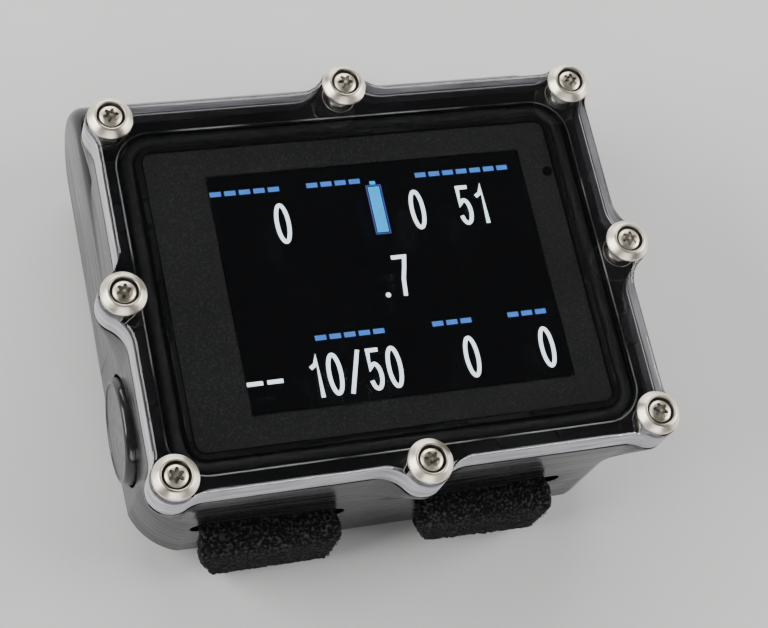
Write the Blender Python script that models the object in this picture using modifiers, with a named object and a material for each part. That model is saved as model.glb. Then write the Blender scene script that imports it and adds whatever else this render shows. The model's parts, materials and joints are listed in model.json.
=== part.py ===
"""Arm-mounted dive computer: clear lid, machined housing, display stack, side buttons,
battery tube with a screw cap, and two fabric straps. Sizes are in millimetres and are
turned into metres when a mesh is made. The origin is the centre of the housing's back face,
+Z points out through the display, +X to the display's right and +Y to its top."""

import math

import bmesh
import bpy
from mathutils import Matrix, Vector

MM = 0.001
GAP = 0.3

# Whole body
DEPTH = 37.5
LID_THICKNESS = 6.35
BODY_TOP = DEPTH - LID_THICKNESS - GAP
HALF_X = 44.7
HALF_Y = 34.8
LOWER_CORNER = 11.5
BACK_FILLET = 0.8
LID_CHAMFER = 1.0

# Screw ears round the lid and the top of the housing
CORNER_SCREW = (42.0, 32.0)
SIDE_SCREW_X = 45.0
END_SCREW_Y = 35.0
EAR_RADIUS = 4.1
EAR_FILLET = 6.0
# Height, and how much of the ear is left there, where the ears fade into the wall below
EAR_TAPER = [(16.0, 0.0), (17.5, 0.04), (20.6, 0.248), (30.0, 1.0)]

# Fasteners
SHANK_RADIUS = 1.5
HEAD_RADIUS = 2.05
WASHER_RADIUS = 3.9
SHANK_END = -12.0
INSERT_RADIUS = 2.1
INSERT_BOTTOM = 26.6
INSERT_TOP = 29.6
HOLE_MOUTH_RADIUS = 2.9

# Sealed cavity, its rim and the O-ring groove
CAVITY_X = 37.2
CAVITY_Y = 27.4
CAVITY_FLOOR = 18.0
GROOVE_INNER = (38.0, 28.2)
GROOVE_OUTER = (41.3, 31.0)
GROOVE_DEPTH = 3.0
SEAL_RADIUS = 1.2

# Display stack
SCREEN_LEFT = -26.7
SCREEN_RIGHT = 31.05
SCREEN_HALF_Y = 21.95
SCREEN_MIDDLE = (SCREEN_LEFT + SCREEN_RIGHT) / 2
MASK_TOP = 30.6
MASK_THICKNESS = 0.9
LIGHT_SENSOR = (35.7, 17.1)
LIGHT_SENSOR_RADIUS = 0.7
BOARD_BOTTOM = 20.4
BOARD_THICKNESS = 1.6
STANDOFF = (33.0, 23.0)

# Battery tube along the top edge
TUBE_Y = 37.3
TUBE_Z = 10.3
TUBE_RADIUS = 10.3
TUBE_END_RADIUS = 8.3
TUBE_END_Y = 37.6
TUBE_ROUNDING = 2.5
BORE_RADIUS = 7.6
BORE_END = -24.0
CELL_RADIUS = 7.25
CELL_LENGTH = 49.5
CELL_START = -21.6
CAP_PLUG_RADIUS = 7.3
CAP_INNER = 36.0
CAP_FLANGE_RADIUS = 8.2
CAP_FLANGE_START = HALF_X + GAP
CAP_FLANGE_END = 46.8

# Side buttons, given as radius and height above the side wall
BUTTON_Y = -15.2
BUTTON_Z = 13.1
BUTTON_RADIUS = 9.4
BUTTON_PROUD = 1.35
BUTTON_POCKET_RADIUS = 9.9

# Strap slots through the back of the housing
STRAP_CENTRES = {"left": -22.8, "right": 16.6}
STRAP_WIDTH = 24.0
STRAP_THICKNESS = 2.5
STRAP_Z = 13.3
SLOT_CENTRES = {"left": -22.8, "right": 17.6}
SLOT_WIDTH = 27.3
SLOT_HEIGHT = 3.6
SLOT_Z = 13.6
SLOT_TURN_Y = 12.0
SLOT_TURN_RADIUS = 9.0
STRAP_UNDER_Z = -1.75
STRAP_OUTSIDE_Y = -38.1

# Depth sensor in the back wall, between the two strap tunnels
SENSOR_X = -3.35
SENSOR_Y = -14.0

FINE = 36
BUTTON_SIDES = 28
MEDIUM = 20
COARSE = 16
MERGE = 0.00001


def clear_scene():
    for old in list(bpy.data.objects):
        bpy.data.objects.remove(old, do_unlink=True)


clear_scene()
PARTS = bpy.data.collections.new("dive_computer")
CUTTERS = bpy.data.collections.new("cutters")
bpy.context.scene.collection.children.link(PARTS)
bpy.context.scene.collection.children.link(CUTTERS)


def material(name, color, roughness, metallic=0.0, transmission=0.0):
    made = bpy.data.materials.new(name)
    made.use_nodes = True
    shader = made.node_tree.nodes["Principled BSDF"]
    shader.inputs["Base Color"].default_value = (*color, 1.0)
    shader.inputs["Roughness"].default_value = roughness
    shader.inputs["Metallic"].default_value = metallic
    shader.inputs["Transmission Weight"].default_value = transmission
    made.diffuse_color = (*color, 1.0)
    return made


MATERIALS = {
    "clear_acrylic": material("clear_acrylic", (0.80, 0.82, 0.83), 0.08, 0.0, 0.9),
    "black_acetal": material("black_acetal", (0.012, 0.012, 0.013), 0.28),
    "seal_rubber": material("seal_rubber", (0.010, 0.010, 0.010), 0.55),
    "stainless_steel": material("stainless_steel", (0.62, 0.60, 0.55), 0.30, 1.0),
    "insert_brass": material("insert_brass", (0.70, 0.48, 0.18), 0.35, 1.0),
    "mask_film": material("mask_film", (0.030, 0.030, 0.031), 0.75),
    "screen_glass": material("screen_glass", (0.004, 0.004, 0.006), 0.10),
    "display_metal": material("display_metal", (0.45, 0.46, 0.48), 0.40, 1.0),
    "circuit_board": material("circuit_board", (0.010, 0.110, 0.040), 0.45),
    "chip_plastic": material("chip_plastic", (0.020, 0.020, 0.022), 0.50),
    "cell_jacket": material("cell_jacket", (0.045, 0.100, 0.260), 0.30),
    "contact_metal": material("contact_metal", (0.75, 0.66, 0.38), 0.25, 1.0),
    "spring_steel": material("spring_steel", (0.55, 0.55, 0.56), 0.25, 1.0),
    "button_polymer": material("button_polymer", (0.180, 0.180, 0.185), 0.35),
    "strap_fabric": material("strap_fabric", (0.014, 0.014, 0.015), 0.95),
}


def keep(shape, slot):
    """Put a finished part in the parts collection with its material."""
    PARTS.objects.link(shape)
    shape.data.materials.clear()
    shape.data.materials.append(MATERIALS[slot])
    return shape


def as_cutter(shape):
    CUTTERS.objects.link(shape)
    shape.hide_render = True
    shape.display_type = "WIRE"
    return shape


def combine(target, tool, operation="DIFFERENCE"):
    step = target.modifiers.new(operation.lower() + "_" + tool.name, "BOOLEAN")
    step.operation = operation
    step.object = tool
    step.solver = "EXACT"


def face_outwards(builder):
    bmesh.ops.recalc_face_normals(builder, faces=builder.faces)
    if builder.calc_volume(signed=True) < 0.0:
        bmesh.ops.reverse_faces(builder, faces=builder.faces)


def object_from(name, mesh_builder):
    mesh = bpy.data.meshes.new(name)
    mesh_builder.to_mesh(mesh)
    mesh_builder.free()
    return bpy.data.objects.new(name, mesh)


def box(name, low, high):
    builder = bmesh.new()
    bmesh.ops.create_cube(builder, size=1.0)
    size = [(top - bottom) * MM for bottom, top in zip(low, high)]
    middle = [(top + bottom) / 2 * MM for bottom, top in zip(low, high)]
    builder.transform(Matrix.Translation(middle) @ Matrix.Diagonal((*size, 1.0)))
    return object_from(name, builder)


def cylinder(name, radius, low, high, place, sides=MEDIUM):
    """A round bar along Z from low to high, centred on place."""
    builder = bmesh.new()
    bmesh.ops.create_cone(builder, cap_ends=True, segments=sides, radius1=radius * MM,
                          radius2=radius * MM, depth=(high - low) * MM)
    builder.transform(Matrix.Translation((place[0] * MM, place[1] * MM, (low + high) / 2 * MM)))
    return object_from(name, builder)


def loft(name, rings):
    """Join rings of equal length with quads and close both ends."""
    builder = bmesh.new()
    rows = [[builder.verts.new(Vector(point) * MM) for point in ring] for ring in rings]
    count = len(rows[0])
    for below, above in zip(rows, rows[1:]):
        for index in range(count):
            after = (index + 1) % count
            builder.faces.new((below[index], below[after], above[after], above[index]))
    builder.faces.new(rows[0])
    builder.faces.new(rows[-1])
    face_outwards(builder)
    return object_from(name, builder)


def flat_solid(name, loops, thickness, frame):
    """Extrude a filled outline with holes. frame places its plane, centred on the thickness."""
    curve = bpy.data.curves.new(name + "_outline", "CURVE")
    curve.dimensions = "2D"
    curve.fill_mode = "BOTH"
    curve.extrude = thickness / 2 * MM
    for points in loops:
        spline = curve.splines.new("POLY")
        spline.points.add(len(points) - 1)
        for knot, (across, up) in zip(spline.points, points):
            knot.co = (across * MM, up * MM, 0.0, 1.0)
        spline.use_cyclic_u = True
    holder = bpy.data.objects.new(name + "_outline", curve)
    PARTS.objects.link(holder)
    bpy.context.view_layer.update()
    mesh = bpy.data.meshes.new_from_object(holder.evaluated_get(bpy.context.evaluated_depsgraph_get()))
    bpy.data.objects.remove(holder, do_unlink=True)
    builder = bmesh.new()
    builder.from_mesh(mesh)
    bpy.data.meshes.remove(mesh)
    bmesh.ops.remove_doubles(builder, verts=builder.verts, dist=MERGE)
    builder.transform(frame)
    face_outwards(builder)
    return object_from(name, builder)


def level_frame(low, high):
    """Frame of an outline drawn in XY that fills the heights from low to high."""
    return Matrix.Translation((0.0, 0.0, (low + high) / 2 * MM))


def plate(name, loops, low, high):
    return flat_solid(name, loops, high - low, level_frame(low, high))


def side_frame(middle_x):
    """Frame of an outline drawn in YZ whose thickness runs along X."""
    turn = Matrix(((0, 0, 1, 0), (1, 0, 0, 0), (0, 1, 0, 0), (0, 0, 0, 1)))
    return Matrix.Translation((middle_x * MM, 0.0, 0.0)) @ turn


def turned(name, profile, place, direction=(0, 0, 1), steps=MEDIUM, closed=False):
    """Spin a (radius, height) profile. Heights run along direction from place."""
    builder = bmesh.new()
    points = [builder.verts.new((radius * MM, 0.0, height * MM)) for radius, height in profile]
    for start, end in zip(points, points[1:]):
        builder.edges.new((start, end))
    if closed:
        builder.edges.new((points[-1], points[0]))
    shape = object_from(name, builder)
    spin = shape.modifiers.new("spin", "SCREW")
    spin.axis = "Z"
    spin.angle = math.tau
    spin.steps = steps
    spin.render_steps = steps
    spin.use_merge_vertices = True
    spin.merge_threshold = MERGE
    spin.use_smooth_shade = False
    shape.location = Vector(place) * MM
    shape.rotation_euler = Vector(direction).to_track_quat("Z", "Y").to_euler()
    return shape


def ring_profile(radius, tube, sides=6):
    """Round cross-section of an O-ring about its own centre plane."""
    return [(radius + tube * math.cos(-math.tau * step / sides), tube * math.sin(-math.tau * step / sides))
            for step in range(sides)]


def tube_along(name, points, radius, cyclic):
    """A wire or seal of one diameter along points."""
    curve = bpy.data.curves.new(name, "CURVE")
    curve.dimensions = "3D"
    curve.bevel_depth = radius * MM
    curve.bevel_resolution = 2
    curve.use_fill_caps = True
    spline = curve.splines.new("POLY")
    spline.points.add(len(points) - 1)
    for knot, point in zip(spline.points, points):
        knot.co = (*[value * MM for value in point], 1.0)
    spline.use_cyclic_u = cyclic
    return bpy.data.objects.new(name, curve)


def coil(name, radius, wire, start, end, turns, place, direction, slot):
    """A compression spring with its heights measured along direction from place."""
    count = int(turns * 8)
    points = [(radius * math.cos(math.tau * turns * step / count),
               radius * math.sin(math.tau * turns * step / count),
               start + (end - start) * step / count) for step in range(count + 1)]
    spring = keep(tube_along(name, points, wire, False), slot)
    spring.location = Vector(place) * MM
    spring.rotation_euler = Vector(direction).to_track_quat("Z", "Y").to_euler()
    return spring


def arc(centre, radius, start, end, steps):
    """Points on an arc, angles in radians, both ends included."""
    return [(centre[0] + radius * math.cos(start + (end - start) * step / steps),
             centre[1] + radius * math.sin(start + (end - start) * step / steps))
            for step in range(steps + 1)]


def rounded_rectangle(half_x, half_y, radius, centre=(0.0, 0.0), steps=4):
    points = []
    for quarter, (side_x, side_y) in enumerate(((1, 1), (-1, 1), (-1, -1), (1, -1))):
        corner = (centre[0] + side_x * (half_x - radius), centre[1] + side_y * (half_y - radius))
        start = quarter * math.pi / 2
        points += arc(corner, radius, start, start + math.pi / 2, steps)
    return points


def fillet_reach(wall, screw):
    """Distance along the wall from an ear's screw to the centre of its blending fillet."""
    return math.sqrt((EAR_RADIUS + EAR_FILLET) ** 2 - (wall + EAR_FILLET - screw) ** 2)


def eared_outline():
    """The lid's outline: a rectangle with an ear at each corner and on each side."""
    corner_x, corner_y = CORNER_SCREW
    blend_x = HALF_X + EAR_FILLET
    blend_y = HALF_Y + EAR_FILLET
    side_reach = fillet_reach(HALF_X, SIDE_SCREW_X)
    corner_down = fillet_reach(HALF_X, corner_x)
    corner_in = fillet_reach(HALF_Y, corner_y)
    end_reach = fillet_reach(HALF_Y, END_SCREW_Y)
    side_angle = math.atan2(side_reach, blend_x - SIDE_SCREW_X)
    low_angle = math.atan2(-corner_down, blend_x - corner_x)
    high_angle = math.atan2(blend_y - corner_y, -corner_in)
    end_angle = math.atan2(blend_y - END_SCREW_Y, end_reach)
    half_turn = math.pi
    quarter = arc((SIDE_SCREW_X, 0.0), EAR_RADIUS, 0.0, side_angle, 4)
    quarter += arc((blend_x, side_reach), EAR_FILLET, side_angle + half_turn, half_turn, 4)[1:]
    quarter += arc((blend_x, corner_y - corner_down), EAR_FILLET, half_turn, low_angle + half_turn, 3)
    quarter += arc(CORNER_SCREW, EAR_RADIUS, low_angle, high_angle, 9)[1:]
    quarter += arc((corner_x - corner_in, blend_y), EAR_FILLET, high_angle - half_turn, -half_turn / 2, 3)[1:]
    quarter += arc((end_reach, blend_y), EAR_FILLET, -half_turn / 2, end_angle - half_turn, 4)
    quarter += arc((0.0, END_SCREW_Y), EAR_RADIUS, end_angle, half_turn / 2, 4)[1:]
    left = [(-x, y) for x, y in reversed(quarter[:-1])]
    upper = quarter + left
    lower = [(x, -y) for x, y in reversed(upper[1:-1])]
    return upper + lower


def screw_places():
    corner_x, corner_y = CORNER_SCREW
    places = [(-corner_x, corner_y), (0.0, END_SCREW_Y), (corner_x, corner_y), (SIDE_SCREW_X, 0.0)]
    return places + [(-x, -y) for x, y in places]


def body_ring(outline, height, ear, inset):
    """One level of the housing: ear 1 keeps the ears, 0 is the plain rounded rectangle."""
    core_x = HALF_X - LOWER_CORNER
    core_y = HALF_Y - LOWER_CORNER
    ring = []
    for x, y in outline:
        centre = Vector((max(-core_x, min(core_x, x)), max(-core_y, min(core_y, y))))
        outward = Vector((x, y)) - centre
        reach = LOWER_CORNER - inset + ear * (outward.length - LOWER_CORNER)
        point = centre + outward.normalized() * reach
        ring.append((point.x, point.y, height))
    return ring


def housing_levels(outline):
    rings = []
    for step in range(4):
        angle = step * math.pi / 6
        rings.append(body_ring(outline, BACK_FILLET * (1 - math.cos(angle)), 0.0,
                               BACK_FILLET * (1 - math.sin(angle))))
    for height, ear in EAR_TAPER:
        rings.append(body_ring(outline, height, ear, 0.0))
    rings.append(body_ring(outline, BODY_TOP, 1.0, 0.0))
    return rings


def tube_ring(x, share):
    """D-shaped section of the battery tube; share 0 is the end face, 1 the full tube."""
    radius = TUBE_END_RADIUS + share * (TUBE_RADIUS - TUBE_END_RADIUS)
    lift = BACK_FILLET * (1.0 - share)
    middle_y = TUBE_END_Y + share * (TUBE_Y - TUBE_END_Y)
    points = arc((middle_y, lift + radius), radius, -math.pi / 2, math.pi / 2, 14)
    inner = [(0.0, lift + 2 * radius), (0.0, lift)]
    return [(x, y, z) for y, z in points + inner]


def battery_tube():
    rings = []
    for step in range(5):
        angle = step * math.pi / 8
        rings.append(tube_ring(-HALF_X + TUBE_ROUNDING * (1 - math.cos(angle)), math.sin(angle)))
    mirrored = [[(-x, y, z) for x, y, z in ring] for ring in reversed(rings)]
    return loft("battery_tube", rings + mirrored)


def offset_path(points, distance, closed):
    """Shift a YZ path sideways by distance, to its left."""
    shifted = []
    count = len(points)
    for index, point in enumerate(points):
        before = points[index - 1] if closed or index else point
        after = points[(index + 1) % count] if closed or index < count - 1 else point
        along = Vector(after) - Vector(before)
        normal = Vector((-along.y, along.x)).normalized()
        shifted.append(tuple(Vector(point) + normal * distance))
    return shifted


def tunnel_path():
    """Middle of the strap tunnel, from outside the lower wall to below the back."""
    mouth = [(-HALF_Y - 4.0, SLOT_Z)]
    bend = arc((SLOT_TURN_Y, SLOT_Z - SLOT_TURN_RADIUS), SLOT_TURN_RADIUS, math.pi / 2, 0.0, 6)
    return mouth + bend + [(SLOT_TURN_Y + SLOT_TURN_RADIUS, -4.0)]


def strap_path():
    """Closed middle line of a strap: through the tunnel, under the back and up to the slot."""
    tail_y = SLOT_TURN_Y + SLOT_TURN_RADIUS
    tail_radius = 2.5
    tail_z = STRAP_UNDER_Z + tail_radius
    lower_radius = 3.25
    upper_radius = 2.2
    path = arc((SLOT_TURN_Y, STRAP_Z - SLOT_TURN_RADIUS), SLOT_TURN_RADIUS, math.pi / 2, 0.0, 6)
    path += arc((tail_y - tail_radius, tail_z), tail_radius, 0.0, -math.pi / 2, 4)
    path += arc((STRAP_OUTSIDE_Y + lower_radius, STRAP_UNDER_Z + lower_radius), lower_radius,
                -math.pi / 2, -math.pi, 5)
    path += arc((STRAP_OUTSIDE_Y + upper_radius, STRAP_Z - upper_radius), upper_radius,
                math.pi, math.pi / 2, 4)
    return path


def make_strap(side, centre_x):
    path = strap_path()
    outer = offset_path(path, STRAP_THICKNESS / 2, True)
    inner = offset_path(path, -STRAP_THICKNESS / 2, True)
    keep(flat_solid("strap_" + side, [outer, inner], STRAP_WIDTH, side_frame(centre_x)), "strap_fabric")


def strap_cutters(side, centre_x):
    path = tunnel_path()
    left = offset_path(path, SLOT_HEIGHT / 2, False)
    right = offset_path(path, -SLOT_HEIGHT / 2, False)
    width = STRAP_WIDTH + 2 * GAP
    tunnel = flat_solid("strap_tunnel_" + side, [left + right[::-1]], width, side_frame(centre_x))
    mouth_outline = rounded_rectangle(SLOT_WIDTH / 2, SLOT_HEIGHT / 2, SLOT_HEIGHT / 2 - 0.05)
    mouth_frame = Matrix.Translation((SLOT_CENTRES[side] * MM, (-HALF_Y + 3.0) * MM, SLOT_Z * MM))
    mouth_frame = mouth_frame @ Matrix.Rotation(math.pi / 2, 4, "X")
    mouth = flat_solid("strap_mouth_" + side, [mouth_outline], 14.0, mouth_frame)
    return [as_cutter(tunnel), as_cutter(mouth)]


BUTTON_PROFILE = [(0.0, BUTTON_PROUD - 0.25), (7.9, BUTTON_PROUD - 0.25), (8.1, BUTTON_PROUD),
                  (8.7, BUTTON_PROUD - 0.05), (9.2, BUTTON_PROUD - 0.45), (BUTTON_RADIUS, 0.2),
                  (BUTTON_RADIUS, -0.8), (9.2, -1.0), (2.2, -1.0), (2.2, -5.1), (1.5, -5.1), (1.5, -5.6),
                  (2.2, -5.6), (2.2, -6.0), (2.0, -6.1), (0.0, -6.1)]
BUTTON_BORE = [(0.0, 3.0), (BUTTON_POCKET_RADIUS, 3.0), (BUTTON_POCKET_RADIUS, -2.0), (5.2, -2.0),
               (5.2, -3.2), (2.55, -3.2), (2.55, -3.55), (3.5, -3.55), (3.5, -4.55), (2.55, -4.55),
               (2.55, -4.9), (4.0, -4.9), (4.0, -7.8), (0.0, -7.8)]
CLIP_PROFILE = [(1.8, -5.2), (3.3, -5.2), (3.3, -5.5), (1.8, -5.5)]
SWITCH_PROFILE = [(0.0, -7.1), (1.6, -7.1), (1.9, -7.2), (3.4, -7.2), (3.4, -7.5), (0.0, -7.5)]


def button_bore(side, sign):
    place = (sign * HALF_X, BUTTON_Y, BUTTON_Z)
    bore = turned("button_bore_" + side, BUTTON_BORE, place, (sign, 0, 0), BUTTON_SIDES)
    wire_x = sorted((sign * 36.9, sign * 39.0))
    wire_way = box("button_wire_way_" + side, (wire_x[0], BUTTON_Y - 1.5, BUTTON_Z + 1.0),
                   (wire_x[1], BUTTON_Y + 1.5, CAVITY_FLOOR + 1.5))
    return [as_cutter(bore), as_cutter(wire_way)]


def make_button(side, sign):
    name = side + "_button_"
    place = (sign * HALF_X, BUTTON_Y, BUTTON_Z)
    outward = (sign, 0, 0)
    keep(turned(name + "cap", BUTTON_PROFILE, place, outward, BUTTON_SIDES), "button_polymer")
    coil(name + "spring", 3.9, 0.2, -1.55, -2.65, 2, place, outward, "spring_steel")
    seal_place = (sign * (HALF_X - 4.05), BUTTON_Y, BUTTON_Z)
    keep(turned(name + "o_ring", ring_profile(2.86, 0.33), seal_place, outward, MEDIUM, True), "seal_rubber")
    keep(turned(name + "clip", CLIP_PROFILE, place, outward, MEDIUM, True), "spring_steel")
    keep(turned(name + "switch", SWITCH_PROFILE, place, outward, MEDIUM), "contact_metal")


def housing_cutters():
    cavity = rounded_rectangle(CAVITY_X, CAVITY_Y, 2.0)
    groove = [rounded_rectangle(*GROOVE_OUTER, 6.5, steps=6), rounded_rectangle(*GROOVE_INNER, 3.0)]
    cutters = [as_cutter(plate("cavity", [cavity], CAVITY_FLOOR, DEPTH)),
               as_cutter(plate("seal_groove", groove, BODY_TOP - GROOVE_DEPTH, DEPTH))]
    tip = DEPTH + SHANK_END - GAP
    hole_profile = [(0.0, DEPTH), (HOLE_MOUTH_RADIUS, DEPTH), (HOLE_MOUTH_RADIUS, INSERT_TOP),
                    (INSERT_RADIUS + GAP, INSERT_TOP), (INSERT_RADIUS + GAP, INSERT_BOTTOM - GAP),
                    (SHANK_RADIUS + GAP, INSERT_BOTTOM - GAP), (SHANK_RADIUS + GAP, tip), (0.0, tip)]
    for number, place in enumerate(screw_places(), 1):
        hole = turned(f"insert_hole_{number}", hole_profile, (*place, 0.0), steps=MEDIUM)
        cutters.append(as_cutter(hole))
    for side, centre_x in STRAP_CENTRES.items():
        cutters += strap_cutters(side, centre_x)
    for side, sign in (("left", -1), ("right", 1)):
        cutters += button_bore(side, sign)
    bore_profile = [(0.0, 0.0), (BORE_RADIUS, 0.0), (BORE_RADIUS, BORE_END - HALF_X - 6.0),
                    (0.0, BORE_END - HALF_X - 6.0)]
    battery_bore = turned("battery_bore", bore_profile, (HALF_X + 6.0, TUBE_Y, TUBE_Z), (1, 0, 0), FINE)
    port_profile = [(0.0, CAVITY_FLOOR + 1.0), (4.5, CAVITY_FLOOR + 1.0), (4.5, 1.6), (5.4, 1.6),
                    (5.4, -1.0), (0.0, -1.0)]
    port = turned("sensor_port", port_profile, (SENSOR_X, SENSOR_Y, 0.0))
    return cutters + [as_cutter(battery_bore), as_cutter(port)]


def make_housing():
    housing = loft("housing", housing_levels(eared_outline()))
    combine(housing, as_cutter(battery_tube()), "UNION")
    for tool in housing_cutters():
        combine(housing, tool)
    keep(housing, "black_acetal")


def make_lid():
    levels = [(DEPTH - LID_THICKNESS, 0.0), (DEPTH - LID_CHAMFER, 0.0), (DEPTH, LID_CHAMFER)]
    lid = loft("front_lid", [body_ring(eared_outline(), height, 1.0, inset) for height, inset in levels])
    for number, place in enumerate(screw_places(), 1):
        hole = cylinder(f"lid_hole_{number}", SHANK_RADIUS + GAP + 0.1, 20.0, DEPTH + 5.0, place)
        combine(lid, as_cutter(hole))
    keep(lid, "clear_acrylic")


def make_seal():
    middle_x = (GROOVE_INNER[0] + GROOVE_OUTER[0]) / 2
    middle_y = (GROOVE_INNER[1] + GROOVE_OUTER[1]) / 2
    height = BODY_TOP - SEAL_RADIUS - 0.05
    route = [(x, y, height) for x, y in rounded_rectangle(middle_x, middle_y, 4.75, steps=6)]
    keep(tube_along("lid_o_ring", route, SEAL_RADIUS, True), "seal_rubber")


def six_lobes(radius, depth, steps=18):
    """Outline of a six-lobe driver socket."""
    return [((radius + depth * math.cos(6 * math.tau * step / steps)) * math.cos(math.tau * step / steps),
             (radius + depth * math.cos(6 * math.tau * step / steps)) * math.sin(math.tau * step / steps))
            for step in range(steps)]


def make_fastener(number, place):
    base = (*place, DEPTH)
    washer_profile = [(2.45, 1.75), (2.9, 1.75), (WASHER_RADIUS, 0.5), (WASHER_RADIUS, 0.15), (1.8, 0.15),
                      (1.8, 0.6), (2.35, 0.65)]
    keep(turned(f"cup_washer_{number}", washer_profile, base, closed=True), "stainless_steel")
    screw_profile = [(0.0, 1.75), (1.6, 1.65), (HEAD_RADIUS, 1.25), (HEAD_RADIUS, 0.95),
                     (SHANK_RADIUS, 0.9), (SHANK_RADIUS, SHANK_END + 0.4), (SHANK_RADIUS - 0.4, SHANK_END),
                     (0.0, SHANK_END)]
    screw = keep(turned(f"lid_screw_{number}", screw_profile, base, steps=COARSE), "stainless_steel")
    pin = arc((0.0, 0.0), 0.32, 0.0, math.tau * 5 / 6, 5)
    socket_frame = Matrix.Translation((place[0] * MM, place[1] * MM, (DEPTH + 1.9) * MM))
    socket = flat_solid(f"socket_{number}", [six_lobes(1.0, 0.17), pin], 2.0, socket_frame)
    combine(screw, as_cutter(socket))
    insert_profile = [(INSERT_RADIUS, INSERT_TOP), (INSERT_RADIUS, INSERT_BOTTOM),
                      (SHANK_RADIUS + GAP, INSERT_BOTTOM), (SHANK_RADIUS + GAP, INSERT_TOP)]
    keep(turned(f"threaded_insert_{number}", insert_profile, (*place, 0.0), steps=COARSE, closed=True), "insert_brass")


def make_display_stack():
    half_screen = (SCREEN_RIGHT - SCREEN_LEFT) / 2
    middle = (SCREEN_MIDDLE, 0.0)
    window = rounded_rectangle(half_screen, SCREEN_HALF_Y, 0.3, middle, 1)
    eye = arc(LIGHT_SENSOR, LIGHT_SENSOR_RADIUS + GAP, 0.0, math.tau * 11 / 12, 11)
    edge = rounded_rectangle(CAVITY_X - GAP, CAVITY_Y - GAP, 1.7)
    keep(plate("bezel_mask", [edge, window, eye], MASK_TOP - MASK_THICKNESS, MASK_TOP), "mask_film")
    glass = rounded_rectangle(half_screen - GAP, SCREEN_HALF_Y - GAP, 0.3, middle, 1)
    keep(plate("display_glass", [glass], MASK_TOP - 2.0, MASK_TOP - 0.1), "screen_glass")
    frame = keep(box("display_frame", (SCREEN_MIDDLE - 31.0, -24.0, 23.6), (SCREEN_MIDDLE + 31.0, 24.0, 28.2)),
                 "display_metal")
    soften = frame.modifiers.new("soften", "BEVEL")
    soften.width = 0.5 * MM
    soften.segments = 2
    keep(cylinder("light_sensor", LIGHT_SENSOR_RADIUS, 28.6, MASK_TOP - 0.1, LIGHT_SENSOR, COARSE),
         "chip_plastic")


def make_electronics():
    board = rounded_rectangle(CAVITY_X - 2 * GAP, CAVITY_Y - 2 * GAP, 1.5)
    board_top = BOARD_BOTTOM + BOARD_THICKNESS
    keep(plate("main_board", [board], BOARD_BOTTOM, board_top), "circuit_board")
    chip_low = board_top + 0.2
    keep(box("processor_chip", (-16.0, -1.0, chip_low), (-4.0, 11.0, chip_low + 1.0)), "chip_plastic")
    keep(box("display_connector", (8.0, -22.0, chip_low), (28.0, -18.5, chip_low + 1.0)), "contact_metal")
    for number, (side_x, side_y) in enumerate(((-1, -1), (1, -1), (-1, 1), (1, 1)), 1):
        place = (side_x * STANDOFF[0], side_y * STANDOFF[1])
        keep(cylinder(f"board_standoff_{number}", 2.2, CAVITY_FLOOR + 0.2, BOARD_BOTTOM - 0.2, place, COARSE),
             "insert_brass")


def make_battery():
    axis_place = (0.0, TUBE_Y, TUBE_Z)
    outward = (1, 0, 0)
    cell_end = CELL_START + CELL_LENGTH
    cell_profile = [(0.0, cell_end), (CELL_RADIUS - 0.6, cell_end), (CELL_RADIUS, cell_end - 0.6),
                    (CELL_RADIUS, CELL_START + 0.6), (CELL_RADIUS - 0.6, CELL_START), (2.75, CELL_START),
                    (2.75, CELL_START - 1.0), (0.0, CELL_START - 1.0)]
    keep(turned("battery_cell", cell_profile, axis_place, outward, MEDIUM), "cell_jacket")
    plate_start = BORE_END + GAP
    plate_profile = [(0.0, plate_start + 0.6), (6.5, plate_start + 0.6), (6.5, plate_start), (0.0, plate_start)]
    keep(turned("battery_contact_plate", plate_profile, axis_place, outward), "contact_metal")
    coil("battery_contact_spring", 4.6, 0.4, cell_end + 0.9, CAP_INNER - 0.8, 4, axis_place, outward,
         "spring_steel")
    seal_x = CAP_FLANGE_START - 2.4
    cap_profile = [(0.0, CAP_FLANGE_END), (CAP_FLANGE_RADIUS - 0.7, CAP_FLANGE_END),
                   (CAP_FLANGE_RADIUS, CAP_FLANGE_END - 0.5), (CAP_FLANGE_RADIUS, CAP_FLANGE_START),
                   (CAP_PLUG_RADIUS, CAP_FLANGE_START), (CAP_PLUG_RADIUS, seal_x + 0.75), (6.2, seal_x + 0.75),
                   (6.2, seal_x - 0.75), (CAP_PLUG_RADIUS, seal_x - 0.75), (CAP_PLUG_RADIUS, CAP_INNER + 0.5),
                   (CAP_PLUG_RADIUS - 0.5, CAP_INNER), (0.0, CAP_INNER)]
    cap = keep(turned("battery_cap", cap_profile, axis_place, outward, FINE), "black_acetal")
    coin_slot = box("coin_slot", (CAP_FLANGE_END - 1.2, TUBE_Y - 6.5, TUBE_Z - 0.9),
                    (CAP_FLANGE_END + 2.0, TUBE_Y + 6.5, TUBE_Z + 0.9))
    combine(cap, as_cutter(coin_slot))
    seal_place = (seal_x, TUBE_Y, TUBE_Z)
    keep(turned("battery_cap_o_ring", ring_profile(6.9, 0.4), seal_place, outward, MEDIUM, True), "seal_rubber")


def make_depth_sensor():
    place = (SENSOR_X, SENSOR_Y, 0.0)
    sensor_profile = [(0.0, 9.6), (2.4, 9.6), (2.4, 7.0), (4.2, 7.0), (4.2, 1.9), (0.0, 1.9)]
    keep(turned("depth_sensor", sensor_profile, place), "stainless_steel")
    cover_edge = arc((SENSOR_X, SENSOR_Y), 5.1, 0.0, math.tau * 23 / 24, 23)
    loops = [cover_edge]
    for step in range(5):
        angle = math.tau * step / 5
        hole_centre = (SENSOR_X + 2.6 * math.cos(angle), SENSOR_Y + 2.6 * math.sin(angle))
        loops.append(arc(hole_centre, 0.6, 0.0, math.tau * 7 / 8, 7))
    keep(plate("sensor_cover", loops, 0.15, 1.3), "stainless_steel")


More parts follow.
